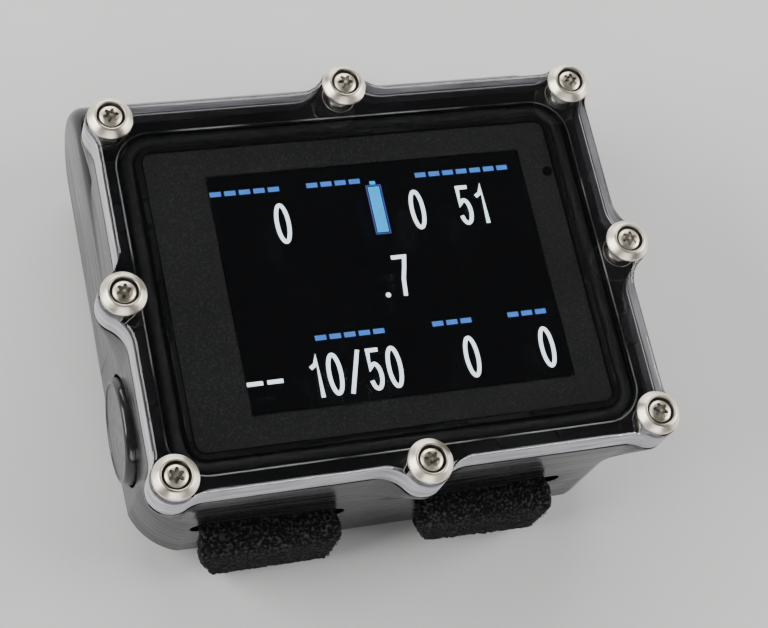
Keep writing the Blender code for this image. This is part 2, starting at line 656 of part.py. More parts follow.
make_housing()
make_lid()
make_seal()
for screw_number, screw_place in enumerate(screw_places(), 1):
    make_fastener(screw_number, screw_place)
make_display_stack()
make_electronics()
make_battery()
make_depth_sensor()
for button_side, button_sign in (("left", -1), ("right", 1)):
    make_button(button_side, button_sign)
for strap_side, strap_x in STRAP_CENTRES.items():
    make_strap(strap_side, strap_x)
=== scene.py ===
import json
import math
import random

import bmesh
import bpy
from mathutils import Matrix, Quaternion, Vector, noise

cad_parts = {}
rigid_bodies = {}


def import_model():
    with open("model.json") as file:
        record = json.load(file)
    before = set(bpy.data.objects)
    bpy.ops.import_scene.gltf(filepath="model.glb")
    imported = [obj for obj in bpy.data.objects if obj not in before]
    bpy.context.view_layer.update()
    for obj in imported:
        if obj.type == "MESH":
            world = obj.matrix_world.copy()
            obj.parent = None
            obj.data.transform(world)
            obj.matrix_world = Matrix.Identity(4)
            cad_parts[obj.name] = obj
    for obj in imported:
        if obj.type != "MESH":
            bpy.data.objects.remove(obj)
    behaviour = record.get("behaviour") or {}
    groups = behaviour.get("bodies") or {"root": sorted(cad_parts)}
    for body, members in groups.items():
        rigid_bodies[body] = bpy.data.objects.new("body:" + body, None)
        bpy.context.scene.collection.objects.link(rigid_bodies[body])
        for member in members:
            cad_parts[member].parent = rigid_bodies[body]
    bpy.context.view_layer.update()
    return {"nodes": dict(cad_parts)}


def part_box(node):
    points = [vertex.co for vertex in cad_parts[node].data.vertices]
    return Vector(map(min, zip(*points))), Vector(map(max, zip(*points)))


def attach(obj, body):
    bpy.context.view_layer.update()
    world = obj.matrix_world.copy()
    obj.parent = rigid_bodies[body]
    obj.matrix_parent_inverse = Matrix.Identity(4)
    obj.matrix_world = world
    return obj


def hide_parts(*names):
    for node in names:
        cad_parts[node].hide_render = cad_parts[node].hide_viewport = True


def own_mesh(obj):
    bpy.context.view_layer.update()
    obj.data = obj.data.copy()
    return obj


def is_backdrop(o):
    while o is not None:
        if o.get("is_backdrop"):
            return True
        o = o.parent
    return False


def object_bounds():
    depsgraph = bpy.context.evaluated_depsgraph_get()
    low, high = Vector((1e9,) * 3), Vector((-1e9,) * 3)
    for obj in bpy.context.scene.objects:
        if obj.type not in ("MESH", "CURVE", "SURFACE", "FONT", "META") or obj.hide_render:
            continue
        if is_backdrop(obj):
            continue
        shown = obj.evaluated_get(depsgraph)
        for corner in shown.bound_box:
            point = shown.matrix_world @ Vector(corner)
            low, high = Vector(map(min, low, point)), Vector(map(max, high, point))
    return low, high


for leftover in list(bpy.data.objects):
    bpy.data.objects.remove(leftover, do_unlink=True)

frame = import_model()

# Everything below is written in millimetres and turned into metres when a mesh is made.
# The frame is the CAD's: +Z out through the display, +X to its right, +Y to its top.
MM = 0.001
TURN = math.tau


def node_box(name):
    """Lowest and highest corner of a CAD node, in millimetres."""
    low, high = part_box(name)
    return low / MM, high / MM


def middle_of(name):
    low, high = node_box(name)
    return (low + high) / 2


# Places taken from the CAD nodes
LID_BOTTOM, LID_TOP = (corner.z for corner in node_box("front_lid"))
CELL_MIDDLE = middle_of("battery_cell")
SENSOR_MIDDLE = middle_of("sensor_cover")
SCREWS = [middle_of(f"cup_washer_{number}") for number in range(1, 9)]
BODY_TOP = node_box("housing")[1].z
GLASS_TOP = node_box("display_glass")[1].z
SCREW_TIP = node_box("lid_screw_1")[0].z

# Clearances, the lid's rounded rim, and the stepped screw holes from the top down
GAP = 0.3
RIM_RADIUS = 1.0
HOLE_RADIUS = 2.9
INSERT_BORE = 2.4
SHANK_BORE = 1.8

# Outline of the body and of its screw ears
HALF_X = 44.7
HALF_Y = 34.8
EAR_RADIUS = 4.1
EAR_FILLET = 6.0
EAR_FULL_Z = 30.0
EAR_TOE_Z = 19.0
EAR_END_Z = 16.0
LOWER_CORNER = 11.5
BACK_FILLET = 0.8
CORNER_X = abs(SCREWS[0].x)
CORNER_Y = abs(SCREWS[0].y)
END_Y = abs(SCREWS[1].y)
SIDE_X = abs(SCREWS[3].x)

# Sealed cavity and O-ring groove
CAVITY = (37.2, 27.4)
CAVITY_FLOOR = 18.0
GROOVE_INNER = (38.0, 28.2)
GROOVE_OUTER = (41.3, 31.0)
GROOVE_DEPTH = 3.0

# Battery tube
TUBE_Y = CELL_MIDDLE.y
TUBE_Z = CELL_MIDDLE.z
TUBE_RADIUS = 10.3
TUBE_END_RADIUS = 8.3
TUBE_END_Y = 37.6
TUBE_ROUNDING = 2.5
BORE_RADIUS = 7.6
BORE_END = -24.0

# Side buttons and their springs
BUTTON_Y = middle_of("left_button_cap").y
BUTTON_Z = middle_of("left_button_cap").z
SPRING_RADIUS = 3.9
SPRING_HALF_LENGTH = 0.55
SPRING_TURNS = 2.5

# Straps and their slots
STRAP_WIDTH = 24.0
STRAP_WIDTH_OUTSIDE = 25.0
STRAP_THICKNESS = 2.5
STRAP_Z = 13.3
SLOT_WIDTH = 27.3
SLOT_SHIFT = {"left": 0.0, "right": 1.0}
SLOT_HEIGHT = 3.6
SLOT_Z = 13.6
SLOT_TURN_Y = 12.0
SLOT_TURN_RADIUS = 9.0
STRAP_UNDER_Z = -1.75
STRAP_OUTSIDE_Y = -38.1
# Where a strap leaves its slot, where it is at full width, and the level of its run under the back
MOUTH_Y = -34.5
FULL_WIDTH_Y = -37.5
UNDERSIDE_Z = 0.5
# How far a strap's left edge is drawn in
STRAP_PULL = 4.0
# The right strap sags less at its left edge, where it turns under the body. The lift grows from
# nothing to all of it between these values of -y, and of -z.
STRAP_LIFT = 2.0
LIFT_OUTWARD = (34.9, 37.0)
LIFT_DOWNWARD = (-8.0, 1.0)
# Standing loops on each strap, the share of them on its edges, and their sizes
FIBRE_LOOPS = 7000
EDGE_SHARE = 0.2
LOOP_HALF_SPAN = (0.12, 0.27)
LOOP_HEIGHT = (0.14, 0.36)
LOOP_THICKNESS = 0.038
LOOP_ROOT = 0.08


# ---- materials

def start_material(name, roughness, metallic=0.0, **sockets):
    """A Principled material, with its surface-wide constants set on the shader itself."""
    made = bpy.data.materials.new(name)
    made.use_nodes = True
    shader = made.node_tree.nodes["Principled BSDF"]
    for socket, value in {"Roughness": roughness, "Metallic": metallic, **sockets}.items():
        shader.inputs[socket.replace("_", " ")].default_value = value
    return made, made.node_tree, shader


def grain_noise(tree, stretch, detail=4.0):
    """Noise over the object's own coordinates, stretched as (per metre in x, y, z)."""
    place = tree.nodes.new("ShaderNodeTexCoord")
    mapping = tree.nodes.new("ShaderNodeMapping")
    mapping.inputs["Scale"].default_value = stretch
    grain = tree.nodes.new("ShaderNodeTexNoise")
    grain.inputs["Scale"].default_value = 1.0
    grain.inputs["Detail"].default_value = detail
    tree.links.new(place.outputs["Object"], mapping.inputs["Vector"])
    tree.links.new(mapping.outputs["Vector"], grain.inputs["Vector"])
    return grain.outputs["Fac"]


def ramp_between(tree, factor, dark, light, start=0.35, end=0.65):
    ramp = tree.nodes.new("ShaderNodeValToRGB")
    for element, position, color in zip(ramp.color_ramp.elements, (start, end), (dark, light)):
        element.position = position
        element.color = (*color, 1.0)
    tree.links.new(factor, ramp.inputs["Fac"])
    return ramp.outputs["Color"]


def spread(tree, factor, low, high):
    """Map noise onto a range of roughness."""
    changer = tree.nodes.new("ShaderNodeMapRange")
    for socket, value in (("From Min", 0.3), ("From Max", 0.7), ("To Min", low), ("To Max", high)):
        changer.inputs[socket].default_value = value
    tree.links.new(factor, changer.inputs["Value"])
    return changer.outputs["Result"]


def add_bump(tree, shader, factor, strength, distance):
    bump = tree.nodes.new("ShaderNodeBump")
    bump.inputs["Strength"].default_value = strength
    bump.inputs["Distance"].default_value = distance * MM
    tree.links.new(factor, bump.inputs["Height"])
    tree.links.new(bump.outputs["Normal"], shader.inputs["Normal"])


def grained(name, color, roughness, stretch, vary=0.2, rough_vary=0.25, bump=0.15, depth=0.05,
            metallic=0.0, **sockets):
    """A finish whose colour, roughness and relief all follow one grain."""
    made, tree, shader = start_material(name, roughness, metallic, **sockets)
    factor = grain_noise(tree, stretch)
    dark = [value * (1.0 - vary) for value in color]
    light = [min(1.0, value * (1.0 + vary)) for value in color]
    tree.links.new(ramp_between(tree, factor, dark, light), shader.inputs["Base Color"])
    tree.links.new(spread(tree, factor, roughness * (1.0 - rough_vary), roughness * (1.0 + rough_vary)),
                   shader.inputs["Roughness"])
    add_bump(tree, shader, factor, bump, depth)
    return made


def speckled(name, base, fleck, roughness, size, start, end, bump=0.4):
    """A dark film with fine brighter flecks, size in flecks per metre."""
    made, tree, shader = start_material(name, roughness)
    factor = grain_noise(tree, (size, size, size), detail=2.0)
    tree.links.new(ramp_between(tree, factor, base, fleck, start, end), shader.inputs["Base Color"])
    add_bump(tree, shader, factor, bump, 0.05)
    return made


def glowing(name, color, strength):
    """One colour of lit pixels, with the panel's slight unevenness."""
    made, tree, shader = start_material(name, 0.4, Emission_Strength=strength)
    factor = grain_noise(tree, (900.0, 900.0, 900.0), detail=1.0)
    dim = [value * 0.93 for value in color]
    tree.links.new(ramp_between(tree, factor, dim, color), shader.inputs["Emission Color"])
    shader.inputs["Base Color"].default_value = (0.0, 0.0, 0.0, 1.0)
    return made


def make_finishes():
    return {
        "clear": grained("acrylic_clear", (0.985, 0.99, 0.99), 0.015, (120, 120, 120), vary=0.004,
                         rough_vary=0.5, bump=0.01, depth=0.01, IOR=1.49, Transmission_Weight=1.0),
        "frosted": grained("acrylic_sawn_edge", (0.47, 0.455, 0.50), 0.46, (110, 110, 900), vary=0.34,
                           bump=0.30, depth=0.03, IOR=1.49, Transmission_Weight=0.15),
        "acetal": grained("acetal_machined", (0.009, 0.009, 0.010), 0.22, (45, 45, 2300), vary=0.40,
                          rough_vary=0.55, bump=0.30, depth=0.02, IOR=1.43),
        "steel": grained("steel_satin", (0.88, 0.81, 0.67), 0.38, (500, 500, 500), vary=0.08,
                         rough_vary=0.25, bump=0.08, depth=0.02, metallic=1.0),
        # Darker copy of the screw steel for the socket's floor, painted shade in the recess
        "socket": grained("steel_socket_painted_shade", (0.62, 0.57, 0.47), 0.30, (900, 900, 900), vary=0.25,
                          metallic=1.0),
        # Darker steel painted as shade in the ring round each screw head, on the washer's seat and on the
        # head's edge
        "seat": grained("steel_head_ring_painted_shade", (0.30, 0.28, 0.24), 0.48, (900, 900, 900), vary=0.3, metallic=1.0),
        "brass": grained("brass_dulled", (0.16, 0.12, 0.06), 0.48, (150, 150, 3000), metallic=1.0),
        "rubber": grained("seal_rubber_fine", (0.005, 0.005, 0.005), 0.68, (800, 800, 800), vary=0.3),
        "mask": speckled("mask_speckle", (0.001, 0.001, 0.001), (0.045, 0.045, 0.045), 0.70, 2800.0,
                         0.50, 0.80),
        "screen": grained("screen_black", (0.0012, 0.0012, 0.0016), 0.12, (60, 60, 60), vary=0.2,
                          bump=0.0, depth=0.01, IOR=1.45),
        "sheet_metal": grained("display_tray", (0.45, 0.46, 0.48), 0.38, (30, 900, 900), metallic=1.0),
        "board": grained("solder_mask", (0.010, 0.110, 0.040), 0.40, (500, 500, 500), vary=0.35),
        "chip": grained("chip_epoxy", (0.020, 0.020, 0.022), 0.55, (1500, 1500, 1500), vary=0.3),
        "jacket": grained("cell_sleeve", (0.045, 0.100, 0.260), 0.28, (60, 900, 900), vary=0.15),
        "contact": grained("contact_plating", (0.75, 0.66, 0.38), 0.24, (900, 900, 900), metallic=1.0),
        "wire": grained("spring_wire", (0.55, 0.55, 0.56), 0.22, (1200, 1200, 1200), metallic=1.0),
        "button": grained("button_face", (0.080, 0.080, 0.084), 0.36, (500, 500, 500), vary=0.06,
                          bump=0.08),
        # Darker, glossier copy of the button plastic for the rounded side: the darkness is painted shade,
        # the gloss is the side's own
        "button_side_painted_shade": grained("button_side_painted_shade", (0.020, 0.020, 0.021), 0.16, (500, 500, 500), vary=0.2,
                               bump=0.05),
        # Painted highlight for the groove's outer edge and the screw hole rims: pale flecks along a dark
        # line, brighter in patches
        "painted_edge_highlight": speckled("seal_edge_painted_highlight", (0.02, 0.02, 0.02), (0.62, 0.62, 0.60), 0.30, 60.0,
                              0.38, 0.54, bump=0.05),
        "label_glow": glowing("label_pixels", (0.06, 0.26, 0.90), 1.1),
        "digit_glow": glowing("digit_pixels", (0.78, 0.90, 1.0), 2.4),
        "battery_glow": glowing("battery_pixels", (0.004, 0.42, 1.0), 1.5),
        "battery_line_glow": glowing("battery_line_pixels", (0.12, 0.12, 0.50), 1.0),
        "fabric": fabric_finish(),
        "fibre": grained("strap_fibre", (0.036, 0.036, 0.038), 0.80, (1200, 1200, 1200), vary=0.8,
                         bump=0.0, Specular_IOR_Level=0.25),
    }


def fabric_finish():
    """Brushed loop fabric: a dark ground with lighter tufts about half a millimetre across."""
    made, tree, shader = start_material("strap_loop_fabric", 0.95, Specular_IOR_Level=0.2)
    tufts = grain_noise(tree, (1700, 1700, 1700), detail=4.0)
    tree.links.new(ramp_between(tree, tufts, (0.0015, 0.0015, 0.0015), (0.052, 0.052, 0.054), 0.50, 0.70),
                   shader.inputs["Base Color"])
    add_bump(tree, shader, tufts, 0.9, 0.3)
    return made


FINISH = make_finishes()


# ---- mesh helpers

def add_object(name, data):
    made = bpy.data.objects.new(name, data)
    bpy.context.scene.collection.objects.link(made)
    return made


def put(name, builder, finishes, replaced=(), body="case", sharp=32.0, level_flat=False):
    """Turn a bmesh in millimetres into a piece that rides on a CAD body. level_flat keeps large
    level faces from picking up the shading of the rounded edge beside them."""
    builder.transform(Matrix.Scale(MM, 4))
    mesh = bpy.data.meshes.new(name)
    builder.to_mesh(mesh)
    builder.free()
    for finish in finishes:
        mesh.materials.append(FINISH[finish])
    mesh.shade_smooth()
    mesh.set_sharp_from_angle(angle=math.radians(sharp))
    for polygon in mesh.polygons:
        if level_flat and abs(polygon.normal.z) > 0.999:
            polygon.use_smooth = False
    piece = add_object(name, mesh)
    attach(piece, body)
    if replaced:
        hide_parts(*replaced)
    return piece


def outward(builder):
    """Turn the faces of a closed bmesh outward."""
    bmesh.ops.recalc_face_normals(builder, faces=builder.faces)
    if builder.calc_volume(signed=True) < 0.0:
        bmesh.ops.reverse_faces(builder, faces=builder.faces)
    return builder


def neighbours(rings, closed):
    """Rings in pairs, each with its next, and the last with the first if closed."""
    pairs = list(zip(rings, rings[1:]))
    return pairs + [(rings[-1], rings[0])] if closed else pairs


def loft(rings, closed=False):
    """Quads between rings of equal length, with both ends closed or the rings in a loop."""
    builder = bmesh.new()
    rows = [[builder.verts.new(point) for point in ring] for ring in rings]
    count = len(rows[0])
    for below, above in neighbours(rows, closed):
        for index in range(count):
            after = (index + 1) % count
            builder.faces.new((below[index], below[after], above[after], above[index]))
    if not closed:
        builder.faces.new(rows[0])
        builder.faces.new(rows[-1])
    return outward(builder)


def arc(centre, radius, start, end, steps):
    """Points along part of a circle, with both ends, angles in radians."""
    return [(centre[0] + radius * math.cos(start + (end - start) * step / steps),
             centre[1] + radius * math.sin(start + (end - start) * step / steps))
            for step in range(steps + 1)]


def rounded_rectangle(half_x, half_y, radius, steps=12, centre=(0.0, 0.0)):
    points = []
    for quarter, (side_x, side_y) in enumerate(((1, 1), (-1, 1), (-1, -1), (1, -1))):
        corner = (centre[0] + side_x * (half_x - radius), centre[1] + side_y * (half_y - radius))
        start = quarter * TURN / 4
        points += arc(corner, radius, start, start + TURN / 4, steps)
    return points


def soften(points, radius, closed=False, steps=4):
    """Replace each corner of a profile with a short curve."""
    made = []
    count = len(points)
    for index, point in enumerate(points):
        if not closed and index in (0, count - 1):
            made.append(point)
            continue
        corner = Vector(point)
        before = Vector(points[index - 1]) - corner
        after = Vector(points[(index + 1) % count]) - corner
        start = corner + before.normalized() * min(radius, before.length * 0.45)
        end = corner + after.normalized() * min(radius, after.length * 0.45)
        for step in range(steps + 1):
            share = step / steps
            blend = start * (1 - share) ** 2 + corner * 2 * share * (1 - share) + end * share ** 2
            made.append(tuple(blend))
    return made


def turned(profile, place, direction=(0, 0, 1), steps=64, closed=False):
    """Spin a (radius, height) profile, with heights along direction from place."""
    builder = bmesh.new()
    rings = []
    for radius, height in profile:
        if radius < 1e-6:
            rings.append([builder.verts.new((0.0, 0.0, height))])
        else:
            rings.append([builder.verts.new((x, y, height))
                          for x, y in arc((0.0, 0.0), radius, 0.0, TURN, steps)[:-1]])
    for below, above in neighbours(rings, closed):
        for index in range(steps):
            after = (index + 1) % steps
            corners = [below[index % len(below)], below[after % len(below)],
                       above[after % len(above)], above[index % len(above)]]
            unique = [corner for spot, corner in enumerate(corners) if corner not in corners[:spot]]
            if len(unique) > 2:
                builder.faces.new(unique)
    spin = Vector(direction).to_track_quat("Z", "Y").to_matrix().to_4x4()
    builder.transform(Matrix.Translation(place) @ spin)
    return outward(builder)


def evaluated(holder):
    """What an object's curve or modifiers make, as a bmesh."""
    graph = bpy.context.evaluated_depsgraph_get()
    mesh = bpy.data.meshes.new_from_object(holder.evaluated_get(graph))
    builder = bmesh.new()
    builder.from_mesh(mesh)
    bpy.data.meshes.remove(mesh)
    return builder


def plate(loops, low, high, placing=None):
    """A flat outline with holes, filled from low to high. placing turns it out of the XY plane."""
    curve = bpy.data.curves.new("outline", "CURVE")
    curve.dimensions = "2D"
    curve.fill_mode = "BOTH"
    curve.extrude = (high - low) / 2
    for points in loops:
        spline = curve.splines.new("POLY")
        spline.points.add(len(points) - 1)
        for knot, (across, up) in zip(spline.points, points):
            knot.co = (across, up, 0.0, 1.0)
        spline.use_cyclic_u = True
    holder = add_object("outline", curve)
    builder = evaluated(holder)
    bpy.data.objects.remove(holder, do_unlink=True)
    bpy.data.curves.remove(curve)
    bmesh.ops.remove_doubles(builder, verts=builder.verts, dist=0.001)
    builder.transform(Matrix.Translation((0.0, 0.0, (low + high) / 2)))
    if placing is not None:
        builder.transform(placing)
    return outward(builder)


def carve(solid, cutters, joined=()):
    """Join bmeshes to a solid and then cut others out of it, by exact Booleans."""
    base = add_object("carved", bpy.data.meshes.new("carved"))
    solid.to_mesh(base.data)
    solid.free()
    helpers = []
    work = [("UNION", tool) for tool in joined] + [("DIFFERENCE", tool) for tool in cutters]
    for operation, tool in work:
        helper = add_object("tool", bpy.data.meshes.new("tool"))
        tool.to_mesh(helper.data)
        tool.free()
        helpers.append(helper)
        step = base.modifiers.new("cut", "BOOLEAN")
        step.operation = operation
        step.object = helper
        step.solver = "EXACT"
    builder = evaluated(base)
    for used in helpers + [base]:
        bpy.data.objects.remove(used, do_unlink=True)
    return builder


def tube(points, radius, sides=8, closed=False, hint=(0.13, 0.21, 1.0)):
    """A round wire along points. hint is any direction the path doesn't run along."""
    rings = []
    count = len(points)
    side_hint = Vector(hint).normalized()
    for index, point in enumerate(points):
        before = points[index - 1] if closed or index else points[0]
        after = points[(index + 1) % count] if closed or index < count - 1 else points[-1]
        along = (Vector(after) - Vector(before)).normalized()
        across = along.cross(side_hint).normalized()
        up = across.cross(along)
        ring = []
        for side in range(sides):
            angle = TURN * side / sides
            offset = across * math.cos(angle) + up * math.sin(angle)
            ring.append(Vector(point) + offset * radius)
        rings.append(ring)
    return loft(rings, closed)


# ---- lid and housing

def eared_outline(inset=0.0):
    """The scalloped outline shared by the lid and the top of the housing, moved in by inset."""
    fine = 4
    ear = EAR_RADIUS - inset
    fillet = EAR_FILLET + inset
    blend_x = HALF_X + EAR_FILLET
    blend_y = HALF_Y + EAR_FILLET

    def reach(blend, screw):
        return math.sqrt((ear + fillet) ** 2 - (blend - screw) ** 2)

    side_reach = reach(blend_x, SIDE_X)
    corner_down = reach(blend_x, CORNER_X)
    corner_in = reach(blend_y, CORNER_Y)
    end_reach = reach(blend_y, END_Y)
    side_angle = math.atan2(side_reach, blend_x - SIDE_X)
    low_angle = math.atan2(-corner_down, blend_x - CORNER_X)
    high_angle = math.atan2(blend_y - CORNER_Y, -corner_in)
    end_angle = math.atan2(blend_y - END_Y, end_reach)
    half = TURN / 2
    quarter = arc((SIDE_X, 0.0), ear, 0.0, side_angle, 4 * fine)
    quarter += arc((blend_x, side_reach), fillet, side_angle + half, half, 3 * fine)[1:]
    quarter += arc((blend_x, CORNER_Y - corner_down), fillet, half, low_angle + half, 3 * fine)
    quarter += arc((CORNER_X, CORNER_Y), ear, low_angle, high_angle, 8 * fine)[1:]
    quarter += arc((CORNER_X - corner_in, blend_y), fillet, high_angle - half, -half / 2, 3 * fine)[1:]
    quarter += arc((end_reach, blend_y), fillet, -half / 2, end_angle - half, 3 * fine)
    quarter += arc((0.0, END_Y), ear, end_angle, half / 2, 4 * fine)[1:]
    upper = quarter + [(-x, y) for x, y in reversed(quarter[:-1])]
    return upper + [(x, -y) for x, y in reversed(upper[1:-1])]


def make_lid():
    """Clear plate with sawn, frosted sides, a polished rounded rim and eight drilled holes."""
    chamfer = 0.2
    rim_steps = 5
    hole_radius = 1.95
    levels = [(LID_BOTTOM, chamfer), (LID_BOTTOM + chamfer, 0.0)]
    for step in range(rim_steps + 1):
        angle = step * TURN / (4 * rim_steps)
        levels.append((LID_TOP - RIM_RADIUS * (1 - math.sin(angle)), RIM_RADIUS * (1 - math.cos(angle))))
    solid = loft([[(x, y, height) for x, y in eared_outline(inset)] for height, inset in levels])
    hole = [(0.0, LID_BOTTOM - 2), (hole_radius, LID_BOTTOM - 2), (hole_radius, LID_TOP + 2),
            (0.0, LID_TOP + 2)]
    lid = carve(solid, [turned(hole, (spot.x, spot.y, 0.0), steps=40) for spot in SCREWS])
    for face in lid.faces:
        face.material_index = 0 if abs(face.normal.z) > 0.1 else 1
    put("clear_front_lid", lid, ["clear", "frosted"], ["front_lid"], level_flat=True)


def body_ring(outline, height, ear, inset):
    """One level of the housing: ear 1 keeps the ears, 0 is the plain rounded rectangle."""
    core_x = HALF_X - LOWER_CORNER
    core_y = HALF_Y - LOWER_CORNER
    ring = []
    for x, y in outline:
        centre = Vector((max(-core_x, min(core_x, x)), max(-core_y, min(core_y, y))))
        away = Vector((x, y)) - centre
        reach = LOWER_CORNER - inset + ear * (away.length - LOWER_CORNER)
        point = centre + away.normalized() * reach
        ring.append((point.x, point.y, height))
    return ring


def ear_share(height):
    """How much of the screw ears stands out at a height: a straight taper with a soft toe."""
    foot = (EAR_END_Z + EAR_TOE_Z) / 2
    slope = 1.0 / (EAR_FULL_Z - foot)
    if height < EAR_TOE_Z:
        return slope * (height - EAR_END_Z) ** 2 / (4 * (EAR_TOE_Z - foot))
    return slope * (height - foot)


def housing_block():
    """The body before machining: plain below, with the screw ears above."""
    fillet_steps = 7
    toe_levels = (16.6, 17.2, 17.8, 18.4)
    chamfer = 0.25
    outline = eared_outline()
    rings = []
    for step in range(fillet_steps):
        angle = step * TURN / (4 * fillet_steps)
        rings.append(body_ring(outline, BACK_FILLET * (1 - math.cos(angle)), 0.0,
                               BACK_FILLET * (1 - math.sin(angle))))
    for height in (EAR_END_Z, *toe_levels, EAR_TOE_Z, 2 * TUBE_RADIUS, EAR_FULL_Z):
        rings.append(body_ring(outline, height, ear_share(height), 0.0))
    rings.append(body_ring(outline, BODY_TOP - chamfer, 1.0, 0.0))
    rings.append([(x, y, BODY_TOP) for x, y in eared_outline(chamfer)])
    return loft(rings)


def tube_ring(x, share):
    """D-shaped section of the battery tube; share 0 is the end face, 1 the full tube."""
    radius = TUBE_END_RADIUS + share * (TUBE_RADIUS - TUBE_END_RADIUS)
    lift = BACK_FILLET * (1.0 - share)
    middle_y = TUBE_END_Y + share * (TUBE_Y - TUBE_END_Y)
    points = arc((middle_y, lift + radius), radius, -TURN / 4, TURN / 4, 48)
    return [(x, y, z) for y, z in points + [(0.0, lift + 2 * radius), (0.0, lift)]]


def battery_tube():
    """The tube along the top side, rounded at both ends."""
    steps = 12
    rings = []
    for step in range(steps + 1):
        angle = step * TURN / 4 / steps
        rings.append(tube_ring(-HALF_X + TUBE_ROUNDING * (1 - math.cos(angle)), math.sin(angle)))
    mirrored = [[(-x, y, z) for x, y, z in ring] for ring in reversed(rings)]
    return loft(rings + mirrored)


# (radius, distance out from the side wall), from the face's recess in to the switch's room
BUTTON_BORE = [(0.0, 3.0), (9.9, 3.0), (9.9, -2.0), (5.2, -2.0), (5.2, -3.2), (2.55, -3.2),
               (2.55, -3.55), (3.5, -3.55), (3.5, -4.55), (2.55, -4.55), (2.55, -4.9), (4.0, -4.9),
               (4.0, -7.8), (0.0, -7.8)]


def offset_path(points, distance):
    """Shift an open YZ path sideways by distance, to its left."""
    shifted = []
    for index, point in enumerate(points):
        before = points[max(index - 1, 0)]
        after = points[min(index + 1, len(points) - 1)]
        along = Vector(after) - Vector(before)
        normal = Vector((-along.y, along.x)).normalized()
        shifted.append(tuple(Vector(point) + normal * distance))
    return shifted


def strap_tunnels(side, centre_x):
    """Cutters for a strap's way through the housing and for its wider mouth."""
    past = 4.0
    mouth_reach = 7.0
    path = [(-HALF_Y - past, SLOT_Z)]
    path += arc((SLOT_TURN_Y, SLOT_Z - SLOT_TURN_RADIUS), SLOT_TURN_RADIUS, TURN / 4, 0.0, 18)
    path += [(SLOT_TURN_Y + SLOT_TURN_RADIUS, -past)]
    outline = offset_path(path, SLOT_HEIGHT / 2) + offset_path(path, -SLOT_HEIGHT / 2)[::-1]
    turn = Matrix(((0, 0, 1, centre_x), (1, 0, 0, 0), (0, 1, 0, 0), (0, 0, 0, 1)))
    tunnel = plate([outline], -STRAP_WIDTH / 2 - GAP, STRAP_WIDTH / 2 + GAP, turn)
    mouth_outline = rounded_rectangle(SLOT_WIDTH / 2, SLOT_HEIGHT / 2, SLOT_HEIGHT / 2 - 0.02)
    placing = Matrix.Translation((centre_x + SLOT_SHIFT[side], -HALF_Y + 3.0, SLOT_Z))
    placing = placing @ Matrix.Rotation(TURN / 4, 4, "X")
    mouth = plate([mouth_outline], -mouth_reach, mouth_reach, placing)
    return [tunnel, mouth]


def make_housing():
    """The machined body, with its tube, cavity, seal groove, bores, slots and sensor port."""
    cavity = plate([rounded_rectangle(*CAVITY, 2.0)], CAVITY_FLOOR, LID_TOP)
    groove = plate([rounded_rectangle(*GROOVE_OUTER, 6.5, 16), rounded_rectangle(*GROOVE_INNER, 3.0)],
                   BODY_TOP - GROOVE_DEPTH, LID_TOP)
    cutters = [cavity, groove]
    insert_low, insert_high = (corner.z for corner in node_box("threaded_insert_1"))
    step_z = insert_low - GAP
    tip_z = SCREW_TIP - GAP
    hole = [(0.0, LID_TOP), (HOLE_RADIUS, LID_TOP), (HOLE_RADIUS, insert_high), (INSERT_BORE, insert_high),
            (INSERT_BORE, step_z), (SHANK_BORE, step_z), (SHANK_BORE, tip_z), (0.0, tip_z)]
    cutters += [turned(hole, (spot.x, spot.y, 0.0), steps=40) for spot in SCREWS]
    for side in ("left", "right"):
        cutters += strap_tunnels(side, middle_of("strap_" + side).x)
    for sign in (-1, 1):
        cutters.append(turned(BUTTON_BORE, (sign * HALF_X, BUTTON_Y, BUTTON_Z), (sign, 0, 0)))
    bore_start = HALF_X + 6.0
    bore_length = bore_start - BORE_END
    bore = [(0.0, 0.0), (BORE_RADIUS, 0.0), (BORE_RADIUS, -bore_length), (0.0, -bore_length)]
    cutters.append(turned(bore, (bore_start, TUBE_Y, TUBE_Z), (1, 0, 0)))
    port = [(0.0, CAVITY_FLOOR + 1.0), (4.5, CAVITY_FLOOR + 1.0), (4.5, 1.6), (5.4, 1.6), (5.4, -1.0),
            (0.0, -1.0)]
    cutters.append(turned(port, (SENSOR_MIDDLE.x, SENSOR_MIDDLE.y, 0.0)))
    put("machined_housing", carve(housing_block(), cutters, [battery_tube()]), ["acetal"],
        ["housing"], sharp=28.0)


def make_seal():
    """The O-ring in its groove, painted highlight lines along the groove's outer edge and round each screw
    hole, and a thin acetal line along the groove's inner edge.
    """
    low, high = node_box("lid_o_ring")
    radius = (high.z - low.z) / 2
    ring_corner = 4.75
    level = BODY_TOP + 0.02
    route = rounded_rectangle(high.x - radius, high.y - radius, ring_corner, 16)
    ring = tube([(x, y, (low.z + high.z) / 2) for x, y in route], radius, 16, closed=True)
    put("lid_seal", ring, ["rubber"], ["lid_o_ring"], sharp=80.0)
    # name, half size, corner radius, line thickness and finish; the outer line's finish is a painted
    # highlight
    edges = [("outer", (GROOVE_OUTER[0] + 0.3, GROOVE_OUTER[1] + 0.1), 6.6, 0.14, "painted_edge_highlight"),
             ("inner", GROOVE_INNER, 3.0, 0.05, "acetal")]
    for name, (half_x, half_y), corner, thickness, finish in edges:
        line = [(x, y, level) for x, y in rounded_rectangle(half_x, half_y, corner, 16)]
        put(f"groove_{name}_edge", tube(line, thickness, 6, closed=True), [finish],
            sharp=80.0)
    # Each screw hole's rim is a thin tube in the painted highlight finish
    for number, spot in enumerate(SCREWS, 1):
        rim = [(spot.x + x, spot.y + y, level)
               for x, y in arc((0.0, 0.0), HOLE_RADIUS, 0.0, TURN * 47 / 48, 47)]
        put(f"hole_{number}_edge", tube(rim, 0.08, 6, closed=True), ["painted_edge_highlight"],
            sharp=80.0)


# ---- fasteners

def from_screw(face, spot):
    """Distance of a face's middle from a screw's axis."""
    middle = face.calc_center_median()
    return math.hypot(middle.x - spot.x, middle.y - spot.y)


